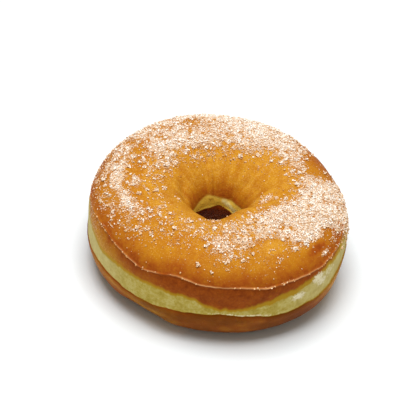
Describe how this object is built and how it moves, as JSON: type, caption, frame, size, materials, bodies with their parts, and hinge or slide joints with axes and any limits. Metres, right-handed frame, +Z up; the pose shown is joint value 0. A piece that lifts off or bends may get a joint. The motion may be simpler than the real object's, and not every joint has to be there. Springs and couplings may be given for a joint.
{
  "type": "sugar doughnut",
  "caption": "Ring doughnut of golden fried dough with a pale band round its side, a funnel-shaped hole and coarse sugar scattered over its crown.",
  "frame": {"origin": "under the middle of the ring, on the surface it rests on", "axes": "+Z up through the hole, +X to the right and +Y away from the reader as the doughnut is usually looked at"},
  "size_m": [0.0926, 0.092, 0.0363],
  "materials": {
    "fried_dough": "satin",
    "coarse_sugar": "satin"
  },
  "bodies": {
    "root": {"doughnut": "fried_dough"}
  },
  "joints": []
}
